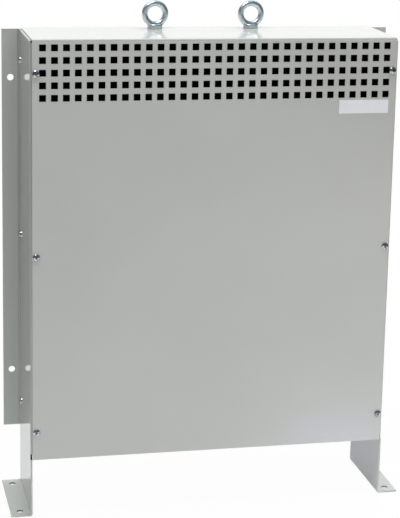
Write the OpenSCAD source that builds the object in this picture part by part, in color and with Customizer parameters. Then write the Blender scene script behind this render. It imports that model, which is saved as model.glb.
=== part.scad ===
// Dry-type power transformer in a slim sheet-metal cabinet for floor or wall.
// Millimetres, +Z up, the vented front faces -Y, the floor is Z = 0.

/* [Cabinet] */
// clear width between the two side plates
inner_w = 600; // [450:1:900]
// depth from the face of the front cover to the wall plane
depth = 162; // [140:1:260]
// height of the top sheet above the floor
total_h = 796; // [650:1:1100]
// height of the lower edge of the front cover above the floor
leg_h = 99.5; // [60:0.5:160]
// play of fitted sheets at each side
fit = 0.3; // [0.1:0.1:0.8]

/* [Side plates] */
// thickness of the bent side plates
side_t = 3; // [2:0.5:5]
// inner bend radius of the side plates
side_r = 0.5; // [0.5:0.5:3]
// inner bend radius of the wall flanges
wall_r = 3; // [0.5:0.5:4]
// width of the inward flange that takes the cover screws
front_fl_w = 14.2; // [14:0.1:30]
// width of the inward flange under the top sheet
top_fl_w = 18; // [12:1:30]
// reach of the wall flange beyond the side plate
wall_fl_w = 28.7; // [24:0.1:45]
// rise of the wall flange's lower end above the lower edge of the cover
wall_fl_rise = 6.5; // [0:0.5:60]
// reach of the foot beyond the side plate
foot_w = 32.3; // [26:0.1:50]
// size of the bend reliefs beside the folds
relief = 4; // [3:0.5:8]
// height of the bend relief below the front flange
front_relief = 9; // [3:0.5:20]

/* [Bolt holes] */
// diameter of the wall holes
wall_hole_d = 11; // [8:0.5:14]
// distance of the lower wall hole from the lower end of its flange
wall_hole_low = 100.5; // [30:0.5:200]
// distance of the upper wall hole below the top sheet
wall_hole_high = 82.5; // [30:0.5:200]
// diameter of the foot holes
foot_hole_d = 11; // [8:0.5:14]
// distance of the front foot hole behind the cover face
foot_hole_front = 19; // [14:0.5:40]
// distance of the rear foot hole before the wall plane
foot_hole_rear = 19; // [14:0.5:40]

/* [Front cover] */
// thickness of the cover sheet
cover_t = 2; // [1:0.5:3]
// inner bend radius between front and top
cover_r = 3; // [1:0.5:8]
// reach of the cover over the bend of each side plate
cover_lap = 0.3; // [0:0.1:2]
// number of vent holes in a row
vent_cols = 31; // [5:1:41]
// number of rows of vent holes
vent_rows = 5; // [1:1:9]
// width and height of a vent hole
vent_s = 11; // [6:0.5:14]
// distance of the end holes from the side edges of the cover
vent_edge = 16.7; // [12:0.1:60]
// distance between rows
vent_row = 20; // [14:0.1:26]
// distance of the first row below the top sheet
vent_drop = 13.2; // [11:0.1:60]

/* [Screws] */
// diameter of a screw head
head_d = 12; // [9:0.5:14]
// height of a screw head
head_h = 4; // [2.5:0.5:6]
// diameter of a screw shank
screw_d = 6; // [4:0.5:8]
// length of a screw shank
screw_l = 12; // [9:1:20]
// width of the slots of the cross recess
recess_w = 1.4; // [0.8:0.1:2]
// length of the slots of the cross recess
recess_l = 6; // [4:0.5:8]
// depth of the cross recess
recess_h = 2; // [1:0.1:3]
// radial play of a bolt or screw in its hole
screw_play = 0.2; // [0.1:0.1:0.5]
// number of screws up each side
screw_n = 3; // [2:1:5]
// distance of a cover screw from the inside of the side plate
cover_screw_x = 6.5; // [6:0.1:12]
// distance of the lowest cover screws above the lower edge of the cover
cover_screw_low = 47.5; // [20:0.5:120]
// distance of the highest cover screws below the top sheet
cover_screw_high = 54.2; // [20:0.1:120]
// distance of the lowest back screws above the lower edge of the cover
back_screw_low = 56; // [50:0.5:120]
// distance of the highest back screws below the top sheet
back_screw_high = 51; // [30:0.5:120]
// distance of the back screws before the wall plane
back_screw_y = 24; // [18:1:40]

/* [Back and bottom] */
// thickness of the back panel and the bottom plate
pan_t = 2; // [1:0.5:3]
// inner bend radius of the back panel
pan_r = 1; // [0.5:0.5:3]
// forward reach of the side returns of the back panel
return_w = 36; // [32:1:60]
// height of the bottom plate above the lower edge of the cover
bottom_rise = 8; // [4:1:30]
// number of air slots in the bottom plate
slot_n = 14; // [4:1:24]
// width of an air slot
slot_w = 10; // [4:1:16]
// length of an air slot
slot_l = 50; // [20:1:60]
// distance of the end slots from the side plates
slot_edge = 70; // [40:1:120]
// width of a base rail
rail_w = 36; // [24:1:40]
// height of a base rail
rail_h = 30; // [20:1:36]
// thickness of a base rail
rail_t = 3; // [2:0.5:5]

/* [Lifting] */
// distance of the lifting eyes from the middle between them
eye_x = 82; // [40:1:150]
// sideways place of the middle between the lifting eyes
eye_shift = 3; // [-10:1:10]
// distance of the eyes before the wall plane
eye_back = 24; // [22:0.5:40]
// inner diameter of an eye
eye_di = 25; // [20:1:40]
// bar diameter of an eye
eye_bar = 10; // [8:1:16]
// height of an eye above the top sheet
eye_h = 47; // [45:1:70]
// diameter of the collar of an eye
eye_collar_d = 25; // [20:1:40]
// height of the straight part of the collar
eye_collar_h = 6; // [4:0.5:10]
// step from the collar to the neck of an eye
eye_step = 1.5; // [0.5:0.5:4]
// thread diameter of an eye
eye_thread_d = 10; // [8:1:16]
// thickness of the lifting bar
lift_bar_t = 12; // [10:1:20]
// width of the lifting bar
lift_bar_w = 44; // [36:1:60]
// length of the pads on the lifting bar
lift_pad_l = 50; // [30:1:80]

/* [Core and coils] */
// width of a core limb
limb_w = 60; // [40:1:70]
// depth of the core stack
stack_d = 60; // [40:1:64]
// height of a yoke
yoke_h = 60; // [40:1:80]
// free height between the upper clamps and the top sheet
terminal_h = 143; // [60:1:300]
// space between a side plate and the outer coil
coil_side = 38; // [30:1:80]
// space between neighbouring coils
coil_between = 16; // [6:1:40]
// air between a coil and the sheets before and behind it
coil_air = 11; // [4:1:30]
// corner radius of a coil
coil_r = 26; // [10:1:34]
// play between limb and coil
coil_play = 3; // [1:0.5:6]
// space between coil and yoke
coil_end = 15; // [8:1:40]
// depth of a coil block
block_d = 14; // [8:1:20]
// thickness of the yoke clamps
clamp_t = 5; // [3:0.5:8]
// reach of the foot of a yoke clamp
clamp_foot = 28; // [20:1:30]
// length of a yoke clamp beyond the outer limbs
clamp_over = 12; // [0:1:30]
// diameter of the clamp bolts
clamp_bolt_d = 10; // [8:1:14]
// width of a bolt head over its corners
hex_d = 19; // [15:0.5:26]
// height of a bolt head
hex_h = 8; // [5:0.5:10]

/* [Hidden] */
$fn = 48;
// overshoot of cuts
cut = 1;
// outer bend radii of the side plates and half the outer width
side_ro = side_r + side_t;
wall_ro = wall_r + side_t;
half_in = inner_w / 2;
half_out = half_in + side_t;
// front to back places, with the screw heads inside the centred depth
front_y = head_h / 2 - depth / 2;
wall_y = front_y + depth;
flange_y = front_y + cover_t;
web_d = depth - cover_t;
side_top = total_h - cover_t;
// the cover leaves the bends of the side plates bare
cover_w = 2 * (half_out - side_ro + cover_lap);
vent_pitch = (cover_w - 2 * vent_edge) / (vent_cols - 1);
screw_hole_d = screw_d + 2 * screw_play;
cover_screw_z = leg_h + cover_screw_low;
cover_screw_step = (total_h - cover_screw_high - cover_screw_z) / (screw_n - 1);
back_screw_z = leg_h + back_screw_low;
back_screw_step = (total_h - back_screw_high - back_screw_z) / (screw_n - 1);
wall_fl_z = leg_h + wall_fl_rise;
wall_hole_z = [wall_fl_z + wall_hole_low, total_h - wall_hole_high];
foot_hole_y = [front_y + foot_hole_front, wall_y - foot_hole_rear];
// the pan of the back panel and what fits between its returns
pan_half = half_in - fit;
between_half = pan_half - pan_t - fit;
bottom_z = leg_h + bottom_rise;
slot_pitch = (inner_w - 2 * slot_edge) / (slot_n - 1);
rail_z = bottom_z + pan_t;
bar_top = side_top - side_t;
eye_y = wall_y - eye_back;
eye_places = [eye_shift - eye_x, eye_shift + eye_x];
eye_hole_d = eye_thread_d + 2 * screw_play;
// the core stands on the base rails and fills the height below the terminal space
core_y = (flange_y + wall_y - pan_t) / 2;
yoke_z = rail_z + rail_h + clamp_t;
limb_z = yoke_z + yoke_h;
top_yoke_z = total_h - cover_t - terminal_h - clamp_t - yoke_h;
window_h = top_yoke_z - limb_z;
coil_w = (inner_w - 2 * coil_side - 2 * coil_between) / 3;
coil_d = web_d - pan_t - 2 * coil_air;
limb_pitch = coil_w + coil_between;
core_w = 2 * limb_pitch + limb_w;
clamp_l = core_w + 2 * clamp_over;
clamp_hole_d = clamp_bolt_d + 2 * screw_play;
rail_y = stack_d / 2 + clamp_t + clamp_foot / 2;

// L section of a bent sheet with its outer corner at the origin
module fold(a, b, t, r) {
  ro = r + t;
  translate([ro, 0]) square([a - ro, t]);
  translate([0, ro]) square([t, b - ro]);
  intersection() {
    translate([ro, ro]) difference() {
      circle(r = ro);
      circle(r = r);
    }
    square(ro);
  }
}

// what a fold of outer radius r + t leaves off a square corner at the origin
module fold_corner(h, t, r) {
  ro = r + t;
  difference() {
    translate([-cut, -cut, 0]) cube([ro + cut, ro + cut, h]);
    translate([ro, ro, -cut]) cylinder(r = ro, h = h + 2 * cut);
  }
}

// pan head screw along -Z, the head above Z = 0
module pan_screw() {
  difference() {
    union() {
      intersection() {
        cylinder(d = head_d, h = head_h);
        translate([0, 0, head_h - head_d]) sphere(r = head_d);
      }
      translate([0, 0, -screw_l]) cylinder(d = screw_d, h = screw_l + head_h - recess_h);
    }
    for (a = [0, 90])
      rotate([0, 0, a]) translate([-recess_l / 2, -recess_w / 2, head_h - recess_h])
        cube([recess_l, recess_w, recess_h + cut]);
  }
}

module side_plate() {
  difference() {
    union() {
      // web from the foot to the top fold
      translate([-half_out, flange_y, side_ro])
        cube([side_t, web_d, side_top - 2 * side_ro]);
      // inward front flange
      translate([-half_out, flange_y, leg_h + front_relief])
        linear_extrude(height = side_top - leg_h - front_relief - relief)
          fold(front_fl_w, 2 * side_ro, side_t, side_r);
      // inward top flange
      translate([-half_out, wall_y, side_top]) rotate([90, 0, 0]) mirror([0, 1, 0])
        linear_extrude(height = web_d - side_ro - relief)
          fold(top_fl_w, 2 * side_ro, side_t, side_r);
      // outward wall flange
      translate([-half_in, wall_y, wall_fl_z]) mirror([1, 0, 0]) mirror([0, 1, 0])
        linear_extrude(height = side_top - wall_fl_z)
          fold(wall_fl_w + side_t, 2 * wall_ro, side_t, wall_r);
      // outward foot
      translate([-half_in, wall_y, 0]) rotate([90, 0, 0]) mirror([1, 0, 0])
        linear_extrude(height = web_d)
          fold(foot_w + side_t, 2 * side_ro, side_t, side_r);
    }
    // rounds off the square edges of the web where the flanges are folded
    translate([-half_out, flange_y, leg_h]) fold_corner(side_top, side_t, side_r);
    translate([-half_in, wall_y, wall_fl_z]) rotate([0, 0, 180]) fold_corner(side_top, side_t, wall_r);
    // bend relief below the front flange
    translate([-half_out - cut, flange_y - cut, leg_h])
      cube([side_t + 2 * cut, side_ro + cut, front_relief]);
    // corner relief between the front and the top flange
    translate([-half_out - cut, flange_y - cut, side_top - relief])
      cube([front_fl_w + 2 * cut, side_ro + relief + cut, relief + cut]);
    // bend relief below the wall flange
    translate([-half_out - cut, wall_y - wall_ro, wall_fl_z - relief / 2])
      cube([side_t + 2 * cut, wall_ro + cut, relief / 2]);
    for (i = [0:screw_n - 1])
      translate([-half_in + cover_screw_x, flange_y - cut, cover_screw_z + i * cover_screw_step])
        rotate([-90, 0, 0]) cylinder(d = screw_hole_d, h = side_t + 2 * cut);
    for (i = [0:screw_n - 1])
      translate([-half_out - cut, wall_y - back_screw_y, back_screw_z + i * back_screw_step])
        rotate([0, 90, 0]) cylinder(d = screw_hole_d, h = side_t + 2 * cut);
    for (z = wall_hole_z)
      translate([-half_out - wall_fl_w / 2, wall_y - side_t - cut, z])
        rotate([-90, 0, 0]) cylinder(d = wall_hole_d, h = side_t + 2 * cut);
    for (y = foot_hole_y)
      translate([-half_out - foot_w / 2, y, -cut])
        cylinder(d = foot_hole_d, h = side_t + 2 * cut);
  }
}

module side_plate_left() {
  color("lightgray") side_plate();
}

module side_plate_right() {
  color("lightgray") mirror([1, 0, 0]) side_plate();
}

module front_top_cover() {
  color("lightgray") difference() {
    translate([-cover_w / 2, front_y, total_h]) rotate([90, 0, 90]) mirror([0, 1, 0])
      linear_extrude(height = cover_w)
        fold(depth, total_h - leg_h, cover_t, cover_r);
    for (i = [0:vent_cols - 1], j = [0:vent_rows - 1])
      translate([vent_edge - cover_w / 2 + i * vent_pitch - vent_s / 2, front_y - cut,
        total_h - vent_drop - j * vent_row - vent_s / 2])
        cube([vent_s, cover_t + 2 * cut, vent_s]);
    for (s = [-1, 1], i = [0:screw_n - 1])
      translate([s * (half_in - cover_screw_x), front_y - cut, cover_screw_z + i * cover_screw_step])
        rotate([-90, 0, 0]) cylinder(d = screw_hole_d, h = cover_t + 2 * cut);
    for (x = eye_places)
      translate([x, eye_y, side_top - cut])
        cylinder(d = eye_hole_d, h = cover_t + 2 * cut);
  }
}

module cover_screws(s) {
  color("silver") for (i = [0:screw_n - 1])
    translate([s * (half_in - cover_screw_x), front_y, cover_screw_z + i * cover_screw_step])
      rotate([90, 0, 0]) pan_screw();
}

module cover_screws_left() {
  cover_screws(-1);
}

module cover_screws_right() {
  cover_screws(1);
}

module back_panel() {
  color("lightgray") difference() {
    for (s = [0, 1]) mirror([s, 0, 0])
      translate([-pan_half, wall_y, leg_h]) mirror([0, 1, 0])
        linear_extrude(height = side_top - leg_h)
          fold(pan_half + cut, return_w, pan_t, pan_r);
    // room for the top flanges of the side plates
    for (s = [-1, 1])
      translate([s * (half_out - top_fl_w / 2), wall_y - web_d / 2, side_top])
        cube([top_fl_w + 2 * fit, web_d + 2 * cut, 2 * (side_t + fit)], center = true);
    for (s = [-1, 1], i = [0:screw_n - 1])
      translate([s * pan_half, wall_y - back_screw_y, back_screw_z + i * back_screw_step])
        rotate([0, 90, 0]) cylinder(d = screw_hole_d, h = 2 * pan_t + 2 * cut, center = true);
  }
}

module back_screws(s) {
  color("silver") for (i = [0:screw_n - 1])
    translate([s * half_out, wall_y - back_screw_y, back_screw_z + i * back_screw_step])
      rotate([0, s * 90, 0]) pan_screw();
}

module back_screws_left() {
  back_screws(-1);
}

module back_screws_right() {
  back_screws(1);
}

module bottom_plate() {
  plate_y = flange_y + side_t + fit;
  color("lightgray") difference() {
    union() {
      translate([-half_in, plate_y, bottom_z])
        cube([inner_w, wall_y - return_w - fit - plate_y, pan_t]);
      translate([-between_half, plate_y, bottom_z])
        cube([2 * between_half, wall_y - pan_t - plate_y, pan_t]);
    }
    for (i = [0:slot_n - 1])
      translate([slot_edge - half_in + i * slot_pitch, core_y, bottom_z - cut])
        linear_extrude(height = pan_t + 2 * cut) slot(slot_w, slot_l);
  }
}

// slot with round ends along Y
module slot(w, l) {
  square([w, l - w], center = true);
  for (s = [-1, 1])
    translate([0, s * (l - w) / 2]) circle(d = w);
}

// channel between the side plates, open below
module base_rail(y, half) {
  color("lightgray") translate([-half, y - rail_w / 2, rail_z]) difference() {
    cube([2 * half, rail_w, rail_h]);
    translate([-cut, rail_t, -rail_t]) cube([2 * half + 2 * cut, rail_w - 2 * rail_t, rail_h]);
  }
}

module base_rail_front() {
  base_rail(core_y - rail_y, half_in);
}

module base_rail_rear() {
  base_rail(core_y + rail_y, between_half);
}

module lifting_bar() {
  bar_y = wall_y - pan_t - lift_bar_w;
  color("dimgray") difference() {
    union() {
      translate([-between_half, bar_y, bar_top - lift_bar_t])
        cube([2 * between_half, lift_bar_w, lift_bar_t]);
      for (x = eye_places)
        translate([x - lift_pad_l / 2, bar_y, bar_top - cut])
          cube([lift_pad_l, lift_bar_w, side_t + cut]);
    }
    for (x = eye_places)
      translate([x, eye_y, bar_top - lift_bar_t - cut])
        cylinder(d = eye_hole_d, h = lift_bar_t + side_t + 2 * cut);
  }
}

// ring, neck and collar on the top sheet, threaded shank through the lifting bar
module eye_bolt(x) {
  ring_r = (eye_di + eye_bar) / 2;
  ring_z = eye_h - ring_r - eye_bar / 2;
  shank_l = cover_t + side_t + lift_bar_t;
  color("silver") translate([x, eye_y, total_h]) {
    translate([0, 0, ring_z]) rotate([90, 0, 0])
      rotate_extrude() translate([ring_r, 0]) circle(d = eye_bar);
    cylinder(d = eye_collar_d, h = eye_collar_h);
    translate([0, 0, eye_collar_h])
      cylinder(d1 = eye_collar_d - 2 * eye_step, d2 = eye_bar, h = ring_z - ring_r - eye_collar_h);
    translate([0, 0, -shank_l]) cylinder(d = eye_thread_d, h = shank_l + eye_collar_h);
  }
}

module eye_bolt_left() {
  eye_bolt(eye_places[0]);
}

module eye_bolt_right() {
  eye_bolt(eye_places[1]);
}

module yoke(z) {
  color([0.25, 0.25, 0.27]) difference() {
    translate([-core_w / 2, core_y - stack_d / 2, z]) cube([core_w, stack_d, yoke_h]);
    for (i = [-1:1])
      translate([i * limb_pitch, core_y, z + yoke_h / 2]) rotate([90, 0, 0])
        cylinder(d = clamp_hole_d, h = stack_d + 2 * cut, center = true);
  }
}

module lower_yoke() {
  yoke(yoke_z);
}

module upper_yoke() {
  yoke(top_yoke_z);
}

module limb(i) {
  color([0.25, 0.25, 0.27])
    translate([i * limb_pitch - limb_w / 2, core_y - stack_d / 2, limb_z])
      cube([limb_w, stack_d, window_h]);
}

module limb_left() {
  limb(-1);
}

module limb_middle() {
  limb(0);
}

module limb_right() {
  limb(1);
}

// rounded rectangle about the origin
module round_rect(w, d, r) {
  square([w - 2 * r, d], center = true);
  square([w, d - 2 * r], center = true);
  for (x = [-1, 1], y = [-1, 1])
    translate([x * (w / 2 - r), y * (d / 2 - r)]) circle(r = r);
}

module coil(i) {
  color([0.45, 0.2, 0.12])
    translate([i * limb_pitch, core_y, limb_z + coil_end])
      linear_extrude(height = window_h - 2 * coil_end) difference() {
        round_rect(coil_w, coil_d, coil_r);
        square([limb_w + 2 * coil_play, stack_d + 2 * coil_play], center = true);
      }
}

module coil_left() {
  coil(-1);
}

module coil_middle() {
  coil(0);
}

module coil_right() {
  coil(1);
}

// blocks between the coils and the clamps, before and behind each limb
module coil_blocks(z) {
  color("tan") for (i = [-1:1], s = [-1, 1])
    translate([i * limb_pitch, core_y + s * (stack_d / 2 + coil_play + block_d / 2), z + coil_end / 2])
      cube([limb_w, block_d, coil_end], center = true);
}

module coil_blocks_lower() {
  coil_blocks(limb_z);
}

module coil_blocks_upper() {
  coil_blocks(top_yoke_z - coil_end);
}

// angle along a yoke, s picks the front or the rear, up is 1 for a foot below
module yoke_clamp(s, z, up) {
  color("dimgray") difference() {
    translate([-clamp_l / 2, core_y + s * stack_d / 2, z]) {
      translate([0, s < 0 ? -clamp_t : 0, 0]) cube([clamp_l, clamp_t, yoke_h]);
      translate([0, s < 0 ? -clamp_t - clamp_foot : 0, up > 0 ? -clamp_t : yoke_h])
        cube([clamp_l, clamp_t + clamp_foot, clamp_t]);
    }
    for (i = [-1:1])
      translate([i * limb_pitch, core_y + s * stack_d / 2, z + yoke_h / 2]) rotate([90, 0, 0])
        cylinder(d = clamp_hole_d, h = 2 * clamp_t + 2 * cut, center = true);
  }
}

module lower_clamp_front() {
  yoke_clamp(-1, yoke_z, 1);
}

module lower_clamp_rear() {
  yoke_clamp(1, yoke_z, 1);
}

module upper_clamp_front() {
  yoke_clamp(-1, top_yoke_z, -1);
}

module upper_clamp_rear() {
  yoke_clamp(1, top_yoke_z, -1);
}

// bolts through both clamps and the yoke, a hexagon at each end
module clamp_bolts(z) {
  grip = stack_d + 2 * clamp_t;
  color("silver") for (i = [-1:1])
    translate([i * limb_pitch, core_y + grip / 2, z + yoke_h / 2]) rotate([90, 0, 0]) {
      translate([0, 0, -hex_h / 2]) cylinder(d = clamp_bolt_d, h = grip + hex_h);
      for (k = [-hex_h, grip])
        translate([0, 0, k]) cylinder(d = hex_d, h = hex_h, $fn = 6);
    }
}

module lower_clamp_bolts() {
  clamp_bolts(yoke_z);
}

module upper_clamp_bolts() {
  clamp_bolts(top_yoke_z);
}

side_plate_left();
side_plate_right();
front_top_cover();
cover_screws_left();
cover_screws_right();
back_panel();
back_screws_left();
back_screws_right();
bottom_plate();
base_rail_front();
base_rail_rear();
lifting_bar();
eye_bolt_left();
eye_bolt_right();
lower_yoke();
upper_yoke();
limb_left();
limb_middle();
limb_right();
coil_left();
coil_middle();
coil_right();
coil_blocks_lower();
coil_blocks_upper();
lower_clamp_front();
lower_clamp_rear();
upper_clamp_front();
upper_clamp_rear();
lower_clamp_bolts();
upper_clamp_bolts();
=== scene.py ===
import math
import bmesh
import bpy
from mathutils import Matrix, Vector


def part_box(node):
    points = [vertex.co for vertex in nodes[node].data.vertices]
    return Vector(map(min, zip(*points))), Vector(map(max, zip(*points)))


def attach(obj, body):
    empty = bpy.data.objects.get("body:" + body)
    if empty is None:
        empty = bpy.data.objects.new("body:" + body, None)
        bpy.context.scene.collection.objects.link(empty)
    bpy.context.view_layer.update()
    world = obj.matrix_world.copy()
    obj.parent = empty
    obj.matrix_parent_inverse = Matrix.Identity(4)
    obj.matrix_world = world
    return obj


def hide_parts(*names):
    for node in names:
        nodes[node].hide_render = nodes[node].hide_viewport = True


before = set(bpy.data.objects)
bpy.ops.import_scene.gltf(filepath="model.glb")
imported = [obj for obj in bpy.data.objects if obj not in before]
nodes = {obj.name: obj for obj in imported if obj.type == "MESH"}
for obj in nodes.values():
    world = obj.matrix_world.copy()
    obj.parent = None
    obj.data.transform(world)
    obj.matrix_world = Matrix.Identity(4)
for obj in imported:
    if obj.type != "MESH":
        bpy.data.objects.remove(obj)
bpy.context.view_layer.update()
mm = 0.001
bpy.context.scene.view_settings.view_transform = "Standard"
print("stage: frame loaded with", len(nodes), "nodes")


def toMetres(spec):
    return {key: value * mm for key, value in spec.items()}


cameraSet = {
    "place": (-601.94, -2723.04, 1132.40),  # millimetres
    "yaw": 13.138, "tilt": 12.788, "roll": 1.346,  # degrees to the right, down and clockwise
    "focal": 1699.9,  # in picture points
    "axisPoint": (224.49, 208.94),  # where the lens axis meets the picture
    "picture": (400, 518),
    "sensor": 36.0,
}


def placeCamera(spec):
    yaw, tilt, roll = (math.radians(spec[key]) for key in ("yaw", "tilt", "roll"))
    ahead = Vector((math.sin(yaw) * math.cos(tilt), math.cos(yaw) * math.cos(tilt), -math.sin(tilt)))
    level = Vector((math.cos(yaw), -math.sin(yaw), 0.0))
    above = level.cross(ahead)
    right = level * math.cos(roll) + above * math.sin(roll)
    up = above * math.cos(roll) - level * math.sin(roll)
    wide, high = spec["picture"]
    lens = bpy.data.cameras.new("photoCamera")
    lens.sensor_fit = "HORIZONTAL"
    lens.sensor_width = spec["sensor"]
    lens.lens = spec["focal"] / wide * spec["sensor"]
    lens.shift_x = (wide / 2 - spec["axisPoint"][0]) / wide
    lens.shift_y = (spec["axisPoint"][1] - high / 2) / wide
    camera = bpy.data.objects.new("photoCamera", lens)
    turn = Matrix((right, up, -ahead)).transposed().to_4x4()
    camera.matrix_world = Matrix.Translation(Vector(spec["place"]) * mm) @ turn
    bpy.context.scene.collection.objects.link(camera)
    bpy.context.scene.camera = camera


placeCamera(cameraSet)
print("stage: camera placed")


# helpers for shader trees
def startMaterial(name):
    material = bpy.data.materials.new(name)
    material.use_nodes = True
    tree = material.node_tree
    return material, tree, tree.nodes["Principled BSDF"]


def addNode(tree, kind, **settings):
    node = tree.nodes.new(kind)
    for key, value in settings.items():
        setattr(node, key, value)
    return node


def objectCoord(tree):
    return addNode(tree, "ShaderNodeTexCoord").outputs["Object"]


def linkOrSet(tree, value, socket):
    if isinstance(value, bpy.types.NodeSocket):
        tree.links.new(value, socket)
    elif isinstance(value, tuple):
        socket.default_value = (*value, 1.0)
    else:
        socket.default_value = value


def mathValue(tree, operation, first, second=None):
    node = addNode(tree, "ShaderNodeMath", operation=operation)
    linkOrSet(tree, first, node.inputs[0])
    if second is not None:
        linkOrSet(tree, second, node.inputs[1])
    return node.outputs["Value"]


def rangeValue(tree, value, fromSpan, toSpan):
    node = addNode(tree, "ShaderNodeMapRange")
    sockets = ("From Min", "From Max", "To Min", "To Max")
    for key, limit in zip(sockets, (*fromSpan, *toSpan)):
        node.inputs[key].default_value = limit
    tree.links.new(value, node.inputs["Value"])
    return node.outputs["Result"]


def mixColour(tree, factor, first, second):
    mix = addNode(tree, "ShaderNodeMix", data_type="RGBA")
    linkOrSet(tree, factor, mix.inputs["Factor"])
    linkOrSet(tree, first, mix.inputs[6])  # the colour sockets A and B
    linkOrSet(tree, second, mix.inputs[7])
    return mix.outputs[2]


def sidewaysPlaces(tree, coordinate):
    axes = addNode(tree, "ShaderNodeSeparateXYZ")
    tree.links.new(coordinate, axes.inputs["Vector"])
    aside = mathValue(tree, "ABSOLUTE", axes.outputs["X"])
    return {"side": aside, "Y": axes.outputs["Y"], "Z": axes.outputs["Z"]}


def noiseValue(tree, scale, detail, rough=0.5):
    noise = addNode(tree, "ShaderNodeTexNoise")
    noise.inputs["Scale"].default_value = scale
    noise.inputs["Detail"].default_value = detail
    noise.inputs["Roughness"].default_value = rough
    tree.links.new(objectCoord(tree), noise.inputs["Vector"])
    return noise.outputs["Fac"]


noiseSpan = (0.3, 0.7)  # the part of a noise that carries most of its change


def colourBand(tree, factor, dark, light):
    ramp = addNode(tree, "ShaderNodeValToRGB")
    for element, place, colour in zip(ramp.color_ramp.elements, noiseSpan, (dark, light)):
        element.position = place
        element.color = (*colour, 1.0)
    tree.links.new(factor, ramp.inputs["Fac"])
    return ramp.outputs["Color"]


def addBump(tree, height, strength, distance):
    bump = addNode(tree, "ShaderNodeBump")
    bump.inputs["Strength"].default_value = strength
    bump.inputs["Distance"].default_value = distance
    tree.links.new(height, bump.inputs["Height"])
    return bump.outputs["Normal"]


# 1 where every limit of the list holds, and 0 elsewhere
def zoneMask(tree, limits):
    places = sidewaysPlaces(tree, objectCoord(tree))
    tests = {"above": "GREATER_THAN", "below": "LESS_THAN"}
    mask = 1.0
    for axis, side, limit in limits:
        mask = mathValue(tree, "MULTIPLY", mathValue(tree, tests[side], places[axis], limit), mask)
    return mask


paintSet = {
    "dark": (0.546, 0.540, 0.496), "light": (0.570, 0.564, 0.519),  # light grey enamel
    "inside": (0.006, 0.006, 0.007),  # painted shade: the inside of the cabinet painted near-black
    "rough": (0.08, 0.12), "ior": 1.5,
    "cloudScale": 5.0, "cloudDetail": 3.0,
    "patchScale": 24.0, "patchDetail": 4.0,
    "peelScale": 260.0, "peelDetail": 2.0, "peelStrength": 0.020, "peelDepth": 0.0002,  # orange peel
}


def makeCabinetPaint(name, spec, insideLimits, shadeZones=()):
    material, tree, shader = startMaterial(name)
    cloud = noiseValue(tree, spec["cloudScale"], spec["cloudDetail"])
    coat = colourBand(tree, cloud, spec["dark"], spec["light"])
    # painted shade: each zone of the list gets a darker copy of the enamel
    for limits, tone in shadeZones:
        shaded = tuple(tone * part for part in spec["dark"])
        coat = mixColour(tree, zoneMask(tree, limits), coat, shaded)
    # painted shade: the inside zone takes the near-black inside colour
    inside = zoneMask(tree, insideLimits)
    coat = mixColour(tree, inside, coat, spec["inside"])
    patch = noiseValue(tree, spec["patchScale"], spec["patchDetail"])
    rough = rangeValue(tree, patch, noiseSpan, spec["rough"])
    dull = mathValue(tree, "MAXIMUM", rough, inside)  # no gloss where the inside is painted in shade
    peel = noiseValue(tree, spec["peelScale"], spec["peelDetail"])
    bump = addBump(tree, peel, spec["peelStrength"], spec["peelDepth"])
    tree.links.new(coat, shader.inputs["Base Color"])
    tree.links.new(dull, shader.inputs["Roughness"])
    tree.links.new(bump, shader.inputs["Normal"])
    shader.inputs["IOR"].default_value = spec["ior"]
    return material


def dressNodes(material, *names):
    for name in names:
        body = nodes[name].data
        body.materials.clear()
        body.materials.append(material)


sheetSet = {  # millimetres
    "cover": 2.0, "plate": 3.0,  # sheet thicknesses
    "lip": 0.6, "hair": 0.1,  # margins that keep a zone off the next face
    "wallFold": 3.2, "wallFoldIn": 2.7, "frontBend": 3.4, "relief": 9.2, "boltHole": 12.0,
    "coverBend": 3.4, "coverBendTop": 0.35,
}
paintedShadeTones = {  # painted shade: the folds, the notch and the walls of the bolt holes are painted darker, the left side darker than the right
    "coverBend": 0.70, "wallFold": 0.80, "frontBend": 0.90,
    "leftRelief": 0.02, "rightRelief": 0.55, "leftHoles": 0.28, "rightHoles": 0.55,
}
sideSet = {**paintSet, "rough": (0.045, 0.07)}  # the side plates are glossier
sheets = toMetres(sheetSet)
lip = sheets["lip"]
hair = sheets["hair"]
coverLow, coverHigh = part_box("front_top_cover")
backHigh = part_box("back_panel")[1]
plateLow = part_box("bottom_plate")[0]
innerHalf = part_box("base_rail_front")[1].x  # the rails end at the side plates
outerHalf = innerHalf + sheets["plate"]
footHalf = -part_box("side_plate_left")[0].x
flangeY = coverLow.y + sheets["cover"]
wallY = coverHigh.y
underTop = coverHigh.z - sheets["cover"]

# painted shade: the inner faces of the cover are painted near-black
coverShadeInside = [("Y", "above", flangeY - lip / 2), ("Z", "below", underTop + lip / 2)]
coverBend = [("Y", "below", coverLow.y + sheets["coverBend"]),
             ("Z", "above", coverHigh.z - sheets["coverBend"]),
             ("Z", "below", coverHigh.z - sheets["coverBendTop"])]
# painted shade: the cover's top bend is painted darker
coverShadeZones = [(coverBend, paintedShadeTones["coverBend"])]
coverPaint = makeCabinetPaint("coverPaint", paintSet, coverShadeInside, coverShadeZones)
dressNodes(coverPaint, "front_top_cover")

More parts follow.
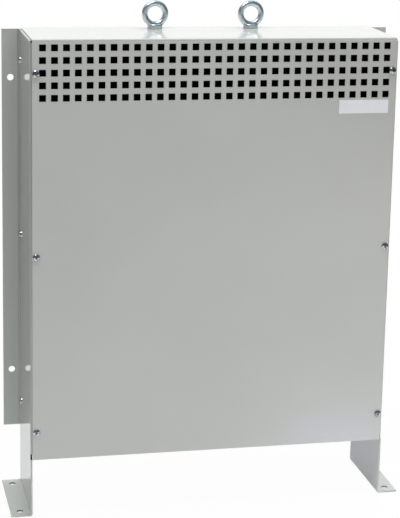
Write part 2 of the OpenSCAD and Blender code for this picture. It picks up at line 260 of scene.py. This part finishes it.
# painted shade: the inner faces of the side plates are painted near-black
sideShadeInside = [("side", "below", innerHalf + lip), ("Z", "above", plateLow.z),
              ("Y", "above", flangeY + 2 * lip), ("Z", "below", underTop - 2 * lip)]
wallFold = [("side", "above", outerHalf + hair), ("side", "below", outerHalf + sheets["wallFold"]),
            ("Y", "above", wallY - 2 * sheets["wallFold"]), ("Y", "below", wallY - sheets["wallFoldIn"])]
frontBend = [("side", "above", innerHalf - 2 * lip), ("Y", "below", flangeY + sheets["frontBend"])]
frontRelief = [("Y", "below", flangeY + sheets["frontBend"] + 2 * hair),
               ("Z", "above", coverLow.z - hair), ("Z", "below", coverLow.z + sheets["relief"])]
footMiddle = (outerHalf + footHalf) / 2
holeHalf = sheets["boltHole"] / 2
footHoles = [("side", "above", footMiddle - holeHalf), ("side", "below", footMiddle + holeHalf),
             ("Z", "above", 2 * hair), ("Z", "below", sheets["plate"] - hair),
             ("Y", "above", flangeY + holeHalf), ("Y", "below", wallY - holeHalf)]
# painted shade: the wall fold, the front bend, the notch and the walls of the foot's bolt holes are painted
# darker
for side in ("left", "right"):
    sideShadeZones = [(wallFold, paintedShadeTones["wallFold"]), (frontBend, paintedShadeTones["frontBend"]),
                 (frontRelief, paintedShadeTones[side + "Relief"]), (footHoles, paintedShadeTones[side + "Holes"])]
    sidePaint = makeCabinetPaint(side + "SidePaint", sideSet, sideShadeInside, sideShadeZones)
    dressNodes(sidePaint, "side_plate_" + side)

# painted shade: the inner faces of the back panel, the bottom plate and the rails are painted near-black
backPaint = makeCabinetPaint("backPaint", paintSet, [("Y", "below", backHigh.y - lip)])
dressNodes(backPaint, "back_panel")
bottomPaint = makeCabinetPaint("bottomPaint", paintSet, [("Z", "above", plateLow.z + lip)])
dressNodes(bottomPaint, "bottom_plate")
railPaint = makeCabinetPaint("railPaint", paintSet, [("Z", "above", plateLow.z)])
dressNodes(railPaint, "base_rail_front", "base_rail_rear")
print("stage: cabinet painted")


zincSet = {
    "dark": (0.50, 0.56, 0.59), "light": (0.76, 0.83, 0.87), "rough": (0.30, 0.42),
    "spangleScale": 240.0, "spangleDetail": 4.0, "spangleRough": 0.6,
    "grainScale": 900.0, "grainDetail": 3.0, "grainStrength": 0.05, "grainDepth": 0.0002,
}
screwZincSet = {**zincSet, "dark": (0.10, 0.11, 0.12), "light": (0.88, 0.92, 0.94),
                "spangleScale": 420.0, "rough": (0.12, 0.22)}


def makeZincPlate(name, spec):
    material, tree, shader = startMaterial(name)
    spangle = noiseValue(tree, spec["spangleScale"], spec["spangleDetail"], spec["spangleRough"])
    colour = colourBand(tree, spangle, spec["dark"], spec["light"])
    rough = rangeValue(tree, spangle, noiseSpan, spec["rough"])
    grain = noiseValue(tree, spec["grainScale"], spec["grainDetail"])
    bump = addBump(tree, grain, spec["grainStrength"], spec["grainDepth"])
    tree.links.new(colour, shader.inputs["Base Color"])
    tree.links.new(rough, shader.inputs["Roughness"])
    tree.links.new(bump, shader.inputs["Normal"])
    shader.inputs["Metallic"].default_value = 1.0
    return material


zincPlate = makeZincPlate("zincPlate", zincSet)
screwZinc = makeZincPlate("screwZinc", screwZincSet)
dressNodes(zincPlate, "lower_clamp_bolts", "upper_clamp_bolts")

# painted shade: the clamps and the lifting bar inside the cabinet are painted near-black
insideShadeSet = {"dark": (0.018, 0.018, 0.020), "light": (0.028, 0.028, 0.030), "rough": 0.55,
             "cloudScale": 18.0, "grainScale": 300.0, "grainStrength": 0.15}
boardSet = {"dark": (0.24, 0.15, 0.08), "light": (0.33, 0.21, 0.12), "rough": 0.75,
            "cloudScale": 60.0, "grainScale": 500.0, "grainStrength": 0.3}
grainSet = {"cloudDetail": 4.0, "grainDetail": 3.0, "grainDepth": 0.0004, "roughSpan": (0.85, 1.15)}


def makeGrained(name, spec):
    material, tree, shader = startMaterial(name)
    cloud = noiseValue(tree, spec["cloudScale"], grainSet["cloudDetail"])
    colour = colourBand(tree, cloud, spec["dark"], spec["light"])
    roughSpan = tuple(spec["rough"] * share for share in grainSet["roughSpan"])
    rough = rangeValue(tree, cloud, noiseSpan, roughSpan)
    grain = noiseValue(tree, spec["grainScale"], grainSet["grainDetail"])
    bump = addBump(tree, grain, spec["grainStrength"], grainSet["grainDepth"])
    tree.links.new(colour, shader.inputs["Base Color"])
    tree.links.new(rough, shader.inputs["Roughness"])
    tree.links.new(bump, shader.inputs["Normal"])
    return material


dressNodes(makeGrained("insideShadePaint", insideShadeSet), "lifting_bar", "lower_clamp_front", "lower_clamp_rear",
           "upper_clamp_front", "upper_clamp_rear")
dressNodes(makeGrained("pressboard", boardSet), "coil_blocks_lower", "coil_blocks_upper")

coreSet = {"dark": (0.020, 0.020, 0.023), "light": (0.040, 0.040, 0.044), "rough": 0.45,
           "across": "Y", "bandScale": 160.0, "bandStrength": 0.5}  # stacked laminations
coilSet = {"dark": (0.030, 0.014, 0.008), "light": (0.060, 0.028, 0.014), "rough": 0.30,
           "across": "Z", "bandScale": 60.0, "bandStrength": 0.6}  # varnished turns
bandSet = {"distortion": 0.4, "detail": 2.0, "depth": 0.0005,
           "cloudScale": 30.0, "cloudDetail": 4.0, "roughSpan": (0.8, 1.2)}


def makeBanded(name, spec):
    material, tree, shader = startMaterial(name)
    wave = addNode(tree, "ShaderNodeTexWave", wave_type="BANDS", bands_direction=spec["across"])
    wave.inputs["Scale"].default_value = spec["bandScale"]
    wave.inputs["Distortion"].default_value = bandSet["distortion"]
    wave.inputs["Detail"].default_value = bandSet["detail"]
    tree.links.new(objectCoord(tree), wave.inputs["Vector"])
    cloud = noiseValue(tree, bandSet["cloudScale"], bandSet["cloudDetail"])
    colour = colourBand(tree, cloud, spec["dark"], spec["light"])
    roughSpan = tuple(spec["rough"] * share for share in bandSet["roughSpan"])
    rough = rangeValue(tree, cloud, noiseSpan, roughSpan)
    bump = addBump(tree, wave.outputs["Fac"], spec["bandStrength"], bandSet["depth"])
    tree.links.new(colour, shader.inputs["Base Color"])
    tree.links.new(rough, shader.inputs["Roughness"])
    tree.links.new(bump, shader.inputs["Normal"])
    return material


dressNodes(makeBanded("coreSteel", coreSet), "lower_yoke", "upper_yoke",
           "limb_left", "limb_middle", "limb_right")
dressNodes(makeBanded("coilVarnish", coilSet), "coil_left", "coil_middle", "coil_right")
print("stage: core and coils dressed")


def linkMesh(name, mesh):
    piece = bpy.data.objects.new(name, mesh)
    bpy.context.scene.collection.objects.link(piece)
    return piece


def meshOf(name, shape):
    mesh = bpy.data.meshes.new(name)
    shape.to_mesh(mesh)
    shape.free()
    return mesh


def applyModifiers(piece):
    graph = bpy.context.evaluated_depsgraph_get()
    mesh = bpy.data.meshes.new_from_object(piece.evaluated_get(graph), depsgraph=graph)
    piece.modifiers.clear()
    piece.data = mesh


plateSet = {"low": (204.3, 671.2), "high": (288.6, 693.8), "thick": 0.4, "corner": 1.2, "steps": 6,
            "dark": (0.86, 0.85, 0.85), "light": (0.92, 0.91, 0.91), "rough": 0.35,
            "cloudScale": 40.0, "grainScale": 700.0, "grainStrength": 0.02}  # corners in X and Z, millimetres


def makeBarePlate(spec):
    corner = spec["corner"]
    left, bottom = (edge + corner for edge in spec["low"])
    right, top = (edge - corner for edge in spec["high"])
    shape = bmesh.new()
    ring = []
    centres = ((right, top), (left, top), (left, bottom), (right, bottom))
    for quarter, (centreX, centreZ) in enumerate(centres):
        for step in range(spec["steps"] + 1):
            angle = math.pi / 2 * (quarter + step / spec["steps"])
            x = (centreX + corner * math.cos(angle)) * mm
            z = (centreZ + corner * math.sin(angle)) * mm
            ring.append(shape.verts.new((x, coverLow.y, z)))
    face = shape.faces.new(ring)
    lifted = bmesh.ops.extrude_face_region(shape, geom=[face])
    front = [part for part in lifted["geom"] if isinstance(part, bmesh.types.BMVert)]
    bmesh.ops.translate(shape, verts=front, vec=(0, -spec["thick"] * mm, 0))
    bmesh.ops.recalc_face_normals(shape, faces=shape.faces)
    plate = linkMesh("barePlate", meshOf("barePlate", shape))
    plate.data.materials.append(makeGrained("plateWhite", spec))
    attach(plate, "root")


makeBarePlate(plateSet)
print("stage: bare plate fixed to the cover")


eyeSet = {  # millimetres
    "bar": 10.0, "inner": 25.0, "shank": 9.8, "chamfer": 0.8,
    "collar": 25.0, "collarHigh": 7.6, "neckLow": 21.0, "neckHigh": 12.0,
    "voxel": 0.55, "smoothFactor": 0.5, "smoothSteps": 6, "around": 64, "barAround": 24,
}
poleRadius = 0.001 * mm  # a revolved profile stays this far off its axis


# a closed ring of points, as radius and height, turned about the Z axis of the place
def revolve(shape, profile, steps, place):
    rings = []
    for step in range(steps):
        angle = 2 * math.pi * step / steps
        x = math.cos(angle)
        y = math.sin(angle)
        rings.append([shape.verts.new(place @ Vector((r * x, r * y, z))) for r, z in profile])
    for step, first in enumerate(rings):
        second = rings[(step + 1) % steps]
        for k in range(len(profile)):
            n = (k + 1) % len(profile)
            shape.faces.new((first[k], second[k], second[n], first[n]))


def closedProfile(points):
    return [(max(r, poleRadius), z) for r, z in points]


def makeEyeBolt(side, spec):
    size = toMetres(spec)
    low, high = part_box("eye_bolt_" + side)
    centre = (low + high) / 2
    barR = size["bar"] / 2
    ringR = (size["inner"] + size["bar"]) / 2
    ringZ = high.z - ringR - barR
    turns = [2 * math.pi * k / spec["barAround"] for k in range(spec["barAround"])]
    ring = [(ringR + barR * math.cos(turn), barR * math.sin(turn)) for turn in turns]
    upright = Matrix.Rotation(math.pi / 2, 4, "X")
    shape = bmesh.new()
    revolve(shape, ring, spec["around"], Matrix.Translation((centre.x, centre.y, ringZ)) @ upright)
    topZ = coverHigh.z  # the collar stands on the top sheet
    chamfer = size["chamfer"]
    shankR = size["shank"] / 2
    shankEnd = low.z - topZ
    collarR = size["collar"] / 2
    collarTop = size["collarHigh"]
    neckTop = ringZ - ringR - topZ
    stem = [(0, shankEnd), (shankR - chamfer, shankEnd), (shankR, shankEnd + chamfer), (shankR, 0),
            (collarR - chamfer, 0), (collarR, chamfer), (collarR, collarTop - chamfer),
            (collarR - chamfer, collarTop), (size["neckLow"] / 2, collarTop),
            (size["neckHigh"] / 2, neckTop), (0, neckTop)]
    revolve(shape, closedProfile(stem), spec["around"], Matrix.Translation((centre.x, centre.y, topZ)))
    bmesh.ops.recalc_face_normals(shape, faces=shape.faces)
    bolt = linkMesh("eyeBolt" + side.capitalize(), meshOf("eyeBolt", shape))
    blend = bolt.modifiers.new("blend", "REMESH")  # ring and stem become one forging
    blend.mode = "VOXEL"
    blend.voxel_size = size["voxel"]
    soften = bolt.modifiers.new("soften", "SMOOTH")
    soften.factor = spec["smoothFactor"]
    soften.iterations = spec["smoothSteps"]
    applyModifiers(bolt)
    bolt.data.materials.clear()
    bolt.data.materials.append(zincPlate)
    bolt.data.shade_smooth()
    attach(bolt, "root")
    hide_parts("eye_bolt_" + side)


for side in ("left", "right"):
    makeEyeBolt(side, eyeSet)
print("stage: lifting eyes made")


screwSet = {  # millimetres
    "head": 12.0, "high": 3.95, "crown": 2.4, "crownSteps": 6, "shank": 6.0, "shankLong": 12.0,
    "point": 0.6,  # width of the point as a share of the shank
    "recessLong": 7.0, "recessWide": 1.6, "recessDeep": 2.4,
    "floorLong": 0.55, "floorWide": 0.8,  # size of the recess at its floor, as a share
    "merge": 0.004, "count": 3, "around": 40, "seed": 7,
}
# painted shade: the cross recess of the screws is painted near-black
recessShadeSet = {"dark": (0.02, 0.02, 0.022), "light": (0.05, 0.05, 0.055), "rough": 0.5,
             "cloudScale": 300.0, "grainScale": 900.0, "grainStrength": 0.1}
recessShade = makeGrained("recessShade", recessShadeSet)
quadCorners = ((-1, -1), (1, -1), (1, 1), (-1, 1))
blockFaces = ((3, 2, 1, 0), (4, 5, 6, 7), (0, 1, 5, 4), (1, 2, 6, 5), (2, 3, 7, 6), (3, 0, 4, 7))


def makeRecessTool(size, spec):
    long = size["recessLong"] / 2
    wide = size["recessWide"] / 2
    floorZ = size["high"] - size["recessDeep"]
    mouthZ = size["high"] + size["crown"]
    floorLong = long * spec["floorLong"]
    floorWide = wide * spec["floorWide"]
    floor = [Vector((x * floorLong, y * floorWide, floorZ)) for x, y in quadCorners]
    mouth = [Vector((x * long, y * wide, mouthZ)) for x, y in quadCorners]
    shape = bmesh.new()
    for quarter in (0.0, math.pi / 2):
        spin = Matrix.Rotation(quarter, 3, "Z")
        corners = [shape.verts.new(spin @ point) for point in floor + mouth]
        for order in blockFaces:
            shape.faces.new([corners[k] for k in order])
    tool = linkMesh("recessTool", meshOf("recessTool", shape))
    tool.data.materials.append(recessShade)
    return tool


def makeScrewHead(spec):
    size = toMetres(spec)
    radius = size["head"] / 2
    crown = size["crown"]
    turns = [math.pi / 2 * k / spec["crownSteps"] for k in range(spec["crownSteps"] + 1)]
    dome = [(radius * math.cos(turn), size["high"] - crown + crown * math.sin(turn)) for turn in turns]
    shankR = size["shank"] / 2
    shankEnd = -size["shankLong"]
    shank = [(0, shankEnd), (shankR * spec["point"], shankEnd), (shankR, shankEnd + shankR), (shankR, 0)]
    shape = bmesh.new()
    revolve(shape, closedProfile(shank + [(radius, 0)] + dome), spec["around"], Matrix.Identity(4))
    bmesh.ops.remove_doubles(shape, verts=shape.verts, dist=size["merge"])
    bmesh.ops.recalc_face_normals(shape, faces=shape.faces)
    head = linkMesh("screwHead", meshOf("screwHead", shape))
    head.data.materials.append(screwZinc)
    tool = makeRecessTool(size, spec)
    cut = head.modifiers.new("recess", "BOOLEAN")
    cut.operation = "DIFFERENCE"
    cut.solver = "EXACT"
    cut.object = tool
    cut.use_self = True
    cut.material_mode = "TRANSFER"
    applyModifiers(head)
    bpy.data.objects.remove(tool)
    mark = head.data.attributes.new("recess", "BOOLEAN", "FACE")
    for face in head.data.polygons:
        mark.data[face.index].value = head.data.materials[face.material_index] == recessShade
    return head


def makeScrewTree(head, spec):
    tree = bpy.data.node_groups.new("screwRow", "GeometryNodeTree")
    for name, kind in (("Count", "NodeSocketInt"), ("First", "NodeSocketVector"),
                       ("Step", "NodeSocketVector"), ("Facing", "NodeSocketRotation")):
        tree.interface.new_socket(name, in_out="INPUT", socket_type=kind)
    tree.interface.new_socket("Geometry", in_out="OUTPUT", socket_type="NodeSocketGeometry")
    inputs = addNode(tree, "NodeGroupInput")
    output = addNode(tree, "NodeGroupOutput")
    line = addNode(tree, "GeometryNodeMeshLine", mode="OFFSET")
    source = addNode(tree, "GeometryNodeObjectInfo")
    source.inputs["Object"].default_value = head
    spread = addNode(tree, "GeometryNodeInstanceOnPoints")
    # each screw stops at its own angle
    each = addNode(tree, "FunctionNodeRandomValue", data_type="FLOAT")
    each.inputs[2].default_value = 0.0
    each.inputs[3].default_value = math.pi / 2
    each.inputs["Seed"].default_value = spec["seed"]
    turn = addNode(tree, "FunctionNodeAxisAngleToRotation")
    turn.inputs["Axis"].default_value = (0, 0, 1)
    spin = addNode(tree, "FunctionNodeRotateRotation", rotation_space="LOCAL")
    solid = addNode(tree, "GeometryNodeRealizeInstances")
    plated = addNode(tree, "GeometryNodeSetMaterial")
    plated.inputs["Material"].default_value = screwZinc
    mark = addNode(tree, "GeometryNodeInputNamedAttribute", data_type="BOOLEAN")
    mark.inputs["Name"].default_value = "recess"
    sunk = addNode(tree, "GeometryNodeSetMaterial")
    sunk.inputs["Material"].default_value = recessShade
    links = tree.links
    links.new(inputs.outputs["Count"], line.inputs["Count"])
    links.new(inputs.outputs["First"], line.inputs["Start Location"])
    links.new(inputs.outputs["Step"], line.inputs["Offset"])
    links.new(each.outputs[1], turn.inputs["Angle"])
    links.new(inputs.outputs["Facing"], spin.inputs["Rotation"])
    links.new(turn.outputs["Rotation"], spin.inputs["Rotate By"])
    links.new(line.outputs["Mesh"], spread.inputs["Points"])
    links.new(source.outputs["Geometry"], spread.inputs["Instance"])
    links.new(spin.outputs["Rotation"], spread.inputs["Rotation"])
    links.new(spread.outputs["Instances"], solid.inputs["Geometry"])
    links.new(solid.outputs["Geometry"], plated.inputs["Geometry"])
    links.new(plated.outputs["Geometry"], sunk.inputs["Geometry"])
    links.new(mark.outputs["Attribute"], sunk.inputs["Selection"])
    links.new(sunk.outputs["Geometry"], output.inputs["Geometry"])
    return tree


def makeScrewRow(node, tree, spec):
    low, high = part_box(node)
    radius = spec["head"] / 2 * mm
    first = (low + high) / 2
    first.z = low.z + radius
    step = Vector((0, 0, (high.z - low.z - 2 * radius) / (spec["count"] - 1)))
    if node.startswith("cover"):
        first.y = coverLow.y
        facing = (math.pi / 2, 0.0, 0.0)
    else:
        outward = math.copysign(1, first.x)
        first.x = (low.x if outward < 0 else high.x) - outward * spec["high"] * mm
        facing = (0.0, outward * math.pi / 2, 0.0)
    firstWord, *words = node.split("_")
    name = firstWord + "".join(word.capitalize() for word in words)
    row = linkMesh(name, bpy.data.meshes.new(node))
    maker = row.modifiers.new("screwRow", "NODES")
    maker.node_group = tree
    sockets = {item.name: item.identifier for item in tree.interface.items_tree if item.in_out == "INPUT"}
    maker[sockets["Count"]] = spec["count"]
    maker[sockets["First"]] = first
    maker[sockets["Step"]] = step
    maker[sockets["Facing"]] = facing
    applyModifiers(row)
    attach(row, "root")
    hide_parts(node)


screwHead = makeScrewHead(screwSet)
screwTree = makeScrewTree(screwHead, screwSet)
for name in ("cover_screws_left", "cover_screws_right", "back_screws_left", "back_screws_right"):
    makeScrewRow(name, screwTree, screwSet)
bpy.data.objects.remove(screwHead)
print("stage: screws set in their rows")


# 1 for rays that show the backdrop itself, and 0 for the light that it gives
def seenDirectly(tree):
    path = addNode(tree, "ShaderNodeLightPath")
    seen = mathValue(tree, "MAXIMUM", path.outputs["Is Camera Ray"], path.outputs["Is Glossy Ray"])
    return mathValue(tree, "MAXIMUM", seen, path.outputs["Is Transmission Ray"])


def mirroredRay(tree):
    return addNode(tree, "ShaderNodeLightPath").outputs["Is Glossy Ray"]


def mixShaders(tree, factor, first, second):
    blend = addNode(tree, "ShaderNodeMixShader")
    tree.links.new(factor, blend.inputs["Fac"])
    tree.links.new(first, blend.inputs[1])
    tree.links.new(second, blend.inputs[2])
    return blend.outputs["Shader"]


plainWhite = (1.0, 1.0, 1.0)
floorSet = {  # metres
    "size": 60.0, "colour": (0.71, 0.71, 0.70), "grainTone": 0.985, "rough": 0.9,
    "grainScale": 3.0, "grainDetail": 3.0,
    "near": 0.6, "far": 1.6, "white": 0.97,  # share of plain white near the object, all white far off
    "shade": (0.02, 0.025, 0.03), "sheetFrom": 1.2, "sheetTo": 1.7,  # dark beside the sheet, in mirrors alone
}


def layFloor(spec):
    half = spec["size"] / 2
    corners = [(x * half, y * half, 0) for x, y in quadCorners]
    mesh = bpy.data.meshes.new("studioFloor")
    mesh.from_pydata(corners, [], [(0, 1, 2, 3)])
    material, tree, shader = startMaterial("floorPaper")
    grain = noiseValue(tree, spec["grainScale"], spec["grainDetail"])
    fleck = tuple(spec["grainTone"] * part for part in spec["colour"])
    tree.links.new(colourBand(tree, grain, fleck, spec["colour"]), shader.inputs["Base Color"])
    shader.inputs["Roughness"].default_value = spec["rough"]
    # the ends of the sheet, before the object, are dark in mirrors
    places = sidewaysPlaces(tree, objectCoord(tree))
    beside = rangeValue(tree, places["side"], (spec["sheetFrom"], spec["sheetTo"]), (0.0, 1.0))
    before = mathValue(tree, "LESS_THAN", places["Y"], 0.0)
    offSheet = mathValue(tree, "MULTIPLY", before, beside)
    dark = mathValue(tree, "MULTIPLY", mirroredRay(tree), offSheet)
    glow = addNode(tree, "ShaderNodeEmission")
    tree.links.new(mixColour(tree, dark, plainWhite, spec["shade"]), glow.inputs["Color"])
    # the shadow stays in the share that isn't plain white
    away = addNode(tree, "ShaderNodeVectorMath", operation="LENGTH")
    tree.links.new(objectCoord(tree), away.inputs[0])
    white = rangeValue(tree, away.outputs["Value"], (spec["near"], spec["far"]), (spec["white"], 1.0))
    share = mathValue(tree, "MULTIPLY", seenDirectly(tree), white)
    surface = mixShaders(tree, share, shader.outputs["BSDF"], glow.outputs["Emission"])
    tree.links.new(surface, tree.nodes["Material Output"].inputs["Surface"])
    mesh.materials.append(material)
    linkMesh("studioFloor", mesh)


worldSet = {
    "colour": (0.80, 0.91, 1.0), "light": 0.04,
    "shade": (0.09, 0.135, 0.165), "bright": 0.86,  # what mirrors see, at its darkest and brightest
    "flagFrom": 0.45, "flagTo": 0.80,  # dark cards far left and right
    "room": 0.06, "roomFrom": -0.3, "roomTo": 0.1,  # the dark room before the object
}


def setWorld(spec):
    world = bpy.data.worlds.new("studioWorld")
    bpy.context.scene.world = world
    world.use_nodes = True
    tree = world.node_tree
    glow = tree.nodes["Background"]
    glow.inputs["Color"].default_value = (*spec["colour"], 1.0)
    glow.inputs["Strength"].default_value = spec["light"]
    places = sidewaysPlaces(tree, addNode(tree, "ShaderNodeTexCoord").outputs["Generated"])
    card = rangeValue(tree, places["side"], (spec["flagFrom"], spec["flagTo"]), (spec["bright"], 0.0))
    room = rangeValue(tree, places["Y"], (spec["roomFrom"], spec["roomTo"]), (spec["room"], spec["bright"]))
    darkest = mathValue(tree, "MINIMUM", card, room)
    mirrored = addNode(tree, "ShaderNodeMix", data_type="FLOAT")
    tree.links.new(mirroredRay(tree), mirrored.inputs["Factor"])
    mirrored.inputs[2].default_value = 1.0  # all white for the camera
    tree.links.new(darkest, mirrored.inputs[3])
    white = addNode(tree, "ShaderNodeBackground")
    tone = mixColour(tree, mirrored.outputs[0], spec["shade"], plainWhite)
    tree.links.new(tone, white.inputs["Color"])
    surface = mixShaders(tree, seenDirectly(tree), glow.outputs["Background"], white.outputs["Background"])
    tree.links.new(surface, tree.nodes["World Output"].inputs["Surface"])


# metres, watts, and the spread in degrees
lampSet = [
    {"name": "overheadBox", "place": (0.75, 0.2, 2.6), "aim": (0.15, 0.1, 0.8),
     "size": (2.6, 2.0), "power": 68.0, "tint": (0.92, 0.965, 1.0)},
    {"name": "leftTopBox", "place": (-0.75, -0.5, 2.6), "aim": (-0.4, -0.1, 0.0),
     "size": (1.0, 0.8), "power": 28.0, "tint": (0.95, 0.98, 1.0), "mirrored": True},
    {"name": "lowRightBox", "place": (0.8, -1.5, 0.1), "aim": (0.2, -0.08, 0.2),
     "size": (1.4, 0.18), "power": 7.1, "tint": (1.0, 0.955, 1.0)},
    {"name": "lowLeftBox", "place": (-0.3, -1.3, 0.1), "aim": (0.0, -0.08, 0.2),
     "size": (1.4, 0.18), "power": 1.8, "tint": (0.72, 0.87, 1.0)},
    {"name": "feetBox", "place": (-0.3, -2.2, 1.1), "aim": (0.05, -0.05, -0.1),
     "size": (1.3, 0.3), "power": 0.30, "tint": (0.84, 0.93, 1.0), "spread": 26.0},
    {"name": "leftFootBox", "place": (-1.5, -0.35, 0.8), "aim": (-0.33, 0.0, 0.0),
     "size": (0.2, 0.2), "power": 0.045, "tint": (0.66, 0.84, 1.0), "spread": 14.0},
    {"name": "rightFootBox", "place": (1.5, -0.35, 0.8), "aim": (0.33, 0.0, 0.0),
     "size": (0.2, 0.2), "power": 0.06, "tint": (0.85, 0.94, 1.0), "spread": 14.0},
    {"name": "rightLegBox", "place": (-0.9, -1.6, 0.25), "aim": (0.3, 0.02, 0.05),
     "size": (0.1, 0.1), "power": 0.022, "tint": (0.5, 0.55, 1.0), "spread": 8.0},
    {"name": "backBox", "place": (0.4, 2.6, 1.6), "aim": (0.0, 0.1, 0.4),
     "size": (1.6, 1.2), "power": 22.0, "tint": plainWhite},
]
openSpread = 180.0


def hangLamp(spec):
    lamp = bpy.data.lights.new(spec["name"], "AREA")
    lamp.shape = "RECTANGLE"
    lamp.size, lamp.size_y = spec["size"]
    lamp.energy = spec["power"]
    lamp.color = spec["tint"]
    lamp.spread = math.radians(spec.get("spread", openSpread))
    place = Vector(spec["place"])
    holder = bpy.data.objects.new(spec["name"], lamp)
    holder.visible_glossy = spec.get("mirrored", False)
    holder.location = place
    holder.rotation_euler = (Vector(spec["aim"]) - place).to_track_quat("-Z", "Y").to_euler()
    bpy.context.scene.collection.objects.link(holder)


layFloor(floorSet)
setWorld(worldSet)
for lampSpec in lampSet:
    hangLamp(lampSpec)
print("stage: floor, world and lamps set")
